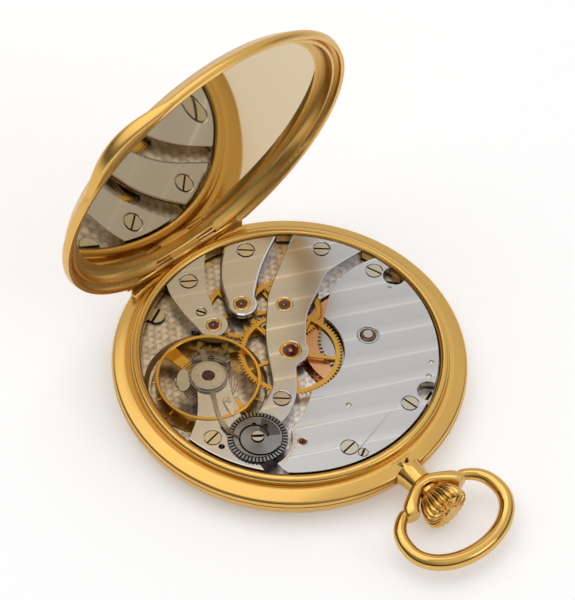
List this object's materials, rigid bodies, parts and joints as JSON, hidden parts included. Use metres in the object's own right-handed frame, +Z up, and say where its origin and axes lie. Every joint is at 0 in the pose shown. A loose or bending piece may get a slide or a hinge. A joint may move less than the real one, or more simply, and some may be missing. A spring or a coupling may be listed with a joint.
{
  "type": "pocket_watch",
  "caption": "Gold pocket watch lying dial down with its hinged back open, showing the hand-wound movement, striped bridges, jewelled train and snail regulator",
  "frame": {"origin": "centre of the flat outer face of the crystal, on the ground the watch lies on", "axes": "+Z up from the crystal through the movement, -Y from the middle towards the crown at 12 o'clock, +Y towards the hinge of the back, +X to the right seen from above with the hinge at the top"},
  "size_m": [0.046, 0.0606, 0.0488],
  "materials": {
    "gold": "polished and brushed 18 carat yellow gold",
    "rhodium_plate": "rhodium plated brass with straight stripes and polished bevels",
    "polished_steel": "polished steel",
    "dark_steel": "plain steel seen in shadow",
    "spring_steel": "tempered spring steel",
    "blued_steel": "blued steel",
    "gilt_brass": "gilt brass, circular grained",
    "copper_gilt": "gilt beryllium bronze, circular grained",
    "ruby": "polished synthetic ruby",
    "crystal_glass": "clear crystal",
    "dial_enamel": "white enamel",
    "dial_black": "black enamel marks"
  },
  "bodies": {
    "case": {"case_middle": "gold", "pendant": "gold", "bezel": "gold", "crystal": "crystal_glass", "hinge_pin": "gold", "main_plate": "rhodium_plate", "barrel_bridge": "rhodium_plate", "center_bridge": "rhodium_plate", "fourth_bridge": "rhodium_plate", "escape_bridge": "rhodium_plate", "pallet_bridge": "dark_steel", "balance_cock": "rhodium_plate", "arbor_bush": "polished_steel", "click_spring": "polished_steel", "balance_cap": "polished_steel", "regulator_screw": "polished_steel", "stud_carrier": "polished_steel", "cock_clip": "polished_steel", "bridge_screws": "polished_steel", "small_screws": "polished_steel", "case_screws": "polished_steel", "steady_pins": "polished_steel", "jewels": "ruby", "chatons": "gilt_brass", "dial": "dial_enamel", "dial_markers": "dial_black"},
    "cover": {"back_cover": "gold"},
    "bow": {"bow": "gold"},
    "winder": {"winding_pinion": "polished_steel"},
    "stem": {"crown": "gold", "winding_stem": "polished_steel"},
    "clutch": {"sliding_clutch": "polished_steel"},
    "lever": {"setting_lever": "polished_steel"},
    "yoke": {"clutch_yoke": "polished_steel"},
    "crown_wheel": {"crown_wheel": "polished_steel"},
    "ratchet": {"ratchet_wheel": "polished_steel", "barrel_arbor": "polished_steel"},
    "click": {"click": "polished_steel"},
    "barrel": {"barrel": "copper_gilt", "mainspring": "spring_steel"},
    "center": {"center_wheel": "gilt_brass", "cannon_pinion": "polished_steel", "minute_hand": "blued_steel"},
    "third": {"third_wheel": "gilt_brass"},
    "fourth": {"fourth_wheel": "gilt_brass", "seconds_hand": "blued_steel"},
    "escape": {"escape_wheel": "polished_steel"},
    "pallets": {"pallet_fork": "polished_steel"},
    "balance": {"balance_wheel": "gilt_brass", "balance_screws": "gilt_brass", "roller": "polished_steel", "hairspring": "spring_steel"},
    "minute": {"minute_wheel": "gilt_brass"},
    "hour": {"hour_wheel": "gilt_brass", "hour_hand": "blued_steel"},
    "setting_inner": {"setting_wheel_inner": "polished_steel"},
    "setting_outer": {"setting_wheel_outer": "polished_steel"},
    "regulator": {"regulator_disc": "polished_steel"},
    "index": {"regulator_index": "polished_steel"}
  },
  "joints": [
    {"name": "cover_hinge", "type": "hinge", "parent": "case", "child": "cover", "pos_m": [0, 0.02113, 0.00579], "axis": [-1, 0, 0], "range_deg": [-80.6, 20]},
    {"name": "bow_swing", "type": "hinge", "parent": "case", "child": "bow", "pos_m": [0, -0.02745, 0.00385], "axis": [-1, 0, 0], "range_deg": [-10, 130]},
    {"name": "crown_turn", "type": "hinge", "parent": "case", "child": "winder", "pos_m": [0, -0.0154, 0.00385], "axis": [0, 1, 0], "continuous": true},
    {"name": "crown_pull", "type": "slide", "parent": "winder", "child": "stem", "axis": [0, -1, 0], "range_m": [0, 0.0009]},
    {"name": "clutch_slide", "type": "slide", "parent": "winder", "child": "clutch", "axis": [0, 1, 0], "range_m": [0, 0.0009]},
    {"name": "lever_swing", "type": "hinge", "parent": "case", "child": "lever", "pos_m": [0.0094, -0.0161, 0.0025], "axis": [0, 0, 1], "range_deg": [0, 5.5]},
    {"name": "yoke_swing", "type": "hinge", "parent": "case", "child": "yoke", "pos_m": [-0.0055, -0.01295, 0.0025], "axis": [0, 0, 1], "range_deg": [0, 9.5]},
    {"name": "crown_wheel_turn", "type": "hinge", "parent": "case", "child": "crown_wheel", "pos_m": [0.0022, -0.0119, 0.00486], "axis": [0, 0, 1], "continuous": true},
    {"name": "ratchet_turn", "type": "hinge", "parent": "case", "child": "ratchet", "pos_m": [0.0094, -0.00447, 0.00486], "axis": [0, 0, 1], "continuous": true},
    {"name": "click_swing", "type": "hinge", "parent": "case", "child": "click", "pos_m": [0.0128, -0.01293, 0.00486], "axis": [0, 0, 1], "range_deg": [0, 12], "stiffness_Nm_per_rad": 0.000002, "springref_deg": -11.46},
    {"name": "seconds_turn", "type": "hinge", "parent": "case", "child": "fourth", "pos_m": [0, 0.0098, 0.00443], "axis": [0, 0, 1], "continuous": true},
    {"name": "third_turn", "type": "hinge", "parent": "case", "child": "third", "pos_m": [0.00422, 0.00616, 0.00486], "axis": [0, 0, 1], "continuous": true},
    {"name": "center_turn", "type": "hinge", "parent": "case", "child": "center", "pos_m": [0, 0, 0.0052], "axis": [0, 0, 1], "continuous": true},
    {"name": "barrel_turn", "type": "hinge", "parent": "case", "child": "barrel", "pos_m": [0.0094, -0.00447, 0.0037], "axis": [0, 0, 1], "continuous": true},
    {"name": "escape_turn", "type": "hinge", "parent": "case", "child": "escape", "pos_m": [-0.00506, 0.0094, 0.00383], "axis": [0, 0, 1], "continuous": true},
    {"name": "minute_wheel_turn", "type": "hinge", "parent": "case", "child": "minute", "pos_m": [-0.00255, -0.00255, 0.0025], "axis": [0, 0, 1], "continuous": true},
    {"name": "hour_wheel_turn", "type": "hinge", "parent": "case", "child": "hour", "pos_m": [0, 0, 0.0024], "axis": [0, 0, 1], "continuous": true},
    {"name": "setting_inner_turn", "type": "hinge", "parent": "case", "child": "setting_inner", "pos_m": [-0.00218, -0.00673, 0.00268], "axis": [0, 0, 1], "continuous": true},
    {"name": "setting_outer_turn", "type": "hinge", "parent": "case", "child": "setting_outer", "pos_m": [-0.00096, -0.00947, 0.00268], "axis": [0, 0, 1], "continuous": true},
    {"name": "pallet_swing", "type": "hinge", "parent": "case", "child": "pallets", "pos_m": [-0.0079, 0.0064, 0.00384], "axis": [0, 0, 1], "range_deg": [-2, 2]},
    {"name": "balance_swing", "type": "hinge", "parent": "case", "child": "balance", "pos_m": [-0.011, 0.0033, 0.0047], "axis": [0, 0, 1], "range_deg": [-270, 270], "stiffness_Nm_per_rad": 0.0000001},
    {"name": "regulator_turn", "type": "hinge", "parent": "case", "child": "regulator", "pos_m": [-0.0123, -0.00795, 0.0062], "axis": [0, 0, 1], "range_deg": [-140, 165]},
    {"name": "index_swing", "type": "hinge", "parent": "case", "child": "index", "pos_m": [-0.011, 0.0033, 0.0061], "axis": [0, 0, 1], "range_deg": [-4.4, 5.2]}
  ],
  "couplings": [
    {"joint": "crown_wheel_turn", "follows": "crown_turn", "ratio": 0.34146},
    {"joint": "ratchet_turn", "follows": "crown_turn", "ratio": -0.21875},
    {"joint": "clutch_slide", "follows": "crown_pull", "ratio": 1},
    {"joint": "lever_swing", "follows": "crown_pull", "rad_per_m": 106.38},
    {"joint": "yoke_swing", "follows": "crown_pull", "rad_per_m": 181.82},
    {"joint": "third_turn", "follows": "seconds_turn", "ratio": -0.13333},
    {"joint": "center_turn", "follows": "seconds_turn", "ratio": 0.016667},
    {"joint": "barrel_turn", "follows": "seconds_turn", "ratio": -0.0027778},
    {"joint": "escape_turn", "follows": "seconds_turn", "ratio": -10},
    {"joint": "minute_wheel_turn", "follows": "seconds_turn", "ratio": -0.0055556},
    {"joint": "hour_wheel_turn", "follows": "seconds_turn", "ratio": 0.0013889},
    {"joint": "setting_inner_turn", "follows": "seconds_turn", "ratio": 0.01},
    {"joint": "setting_outer_turn", "follows": "seconds_turn", "ratio": -0.01},
    {"joint": "index_swing", "follows": "regulator_turn", "ratio": 0.03075}
  ]
}
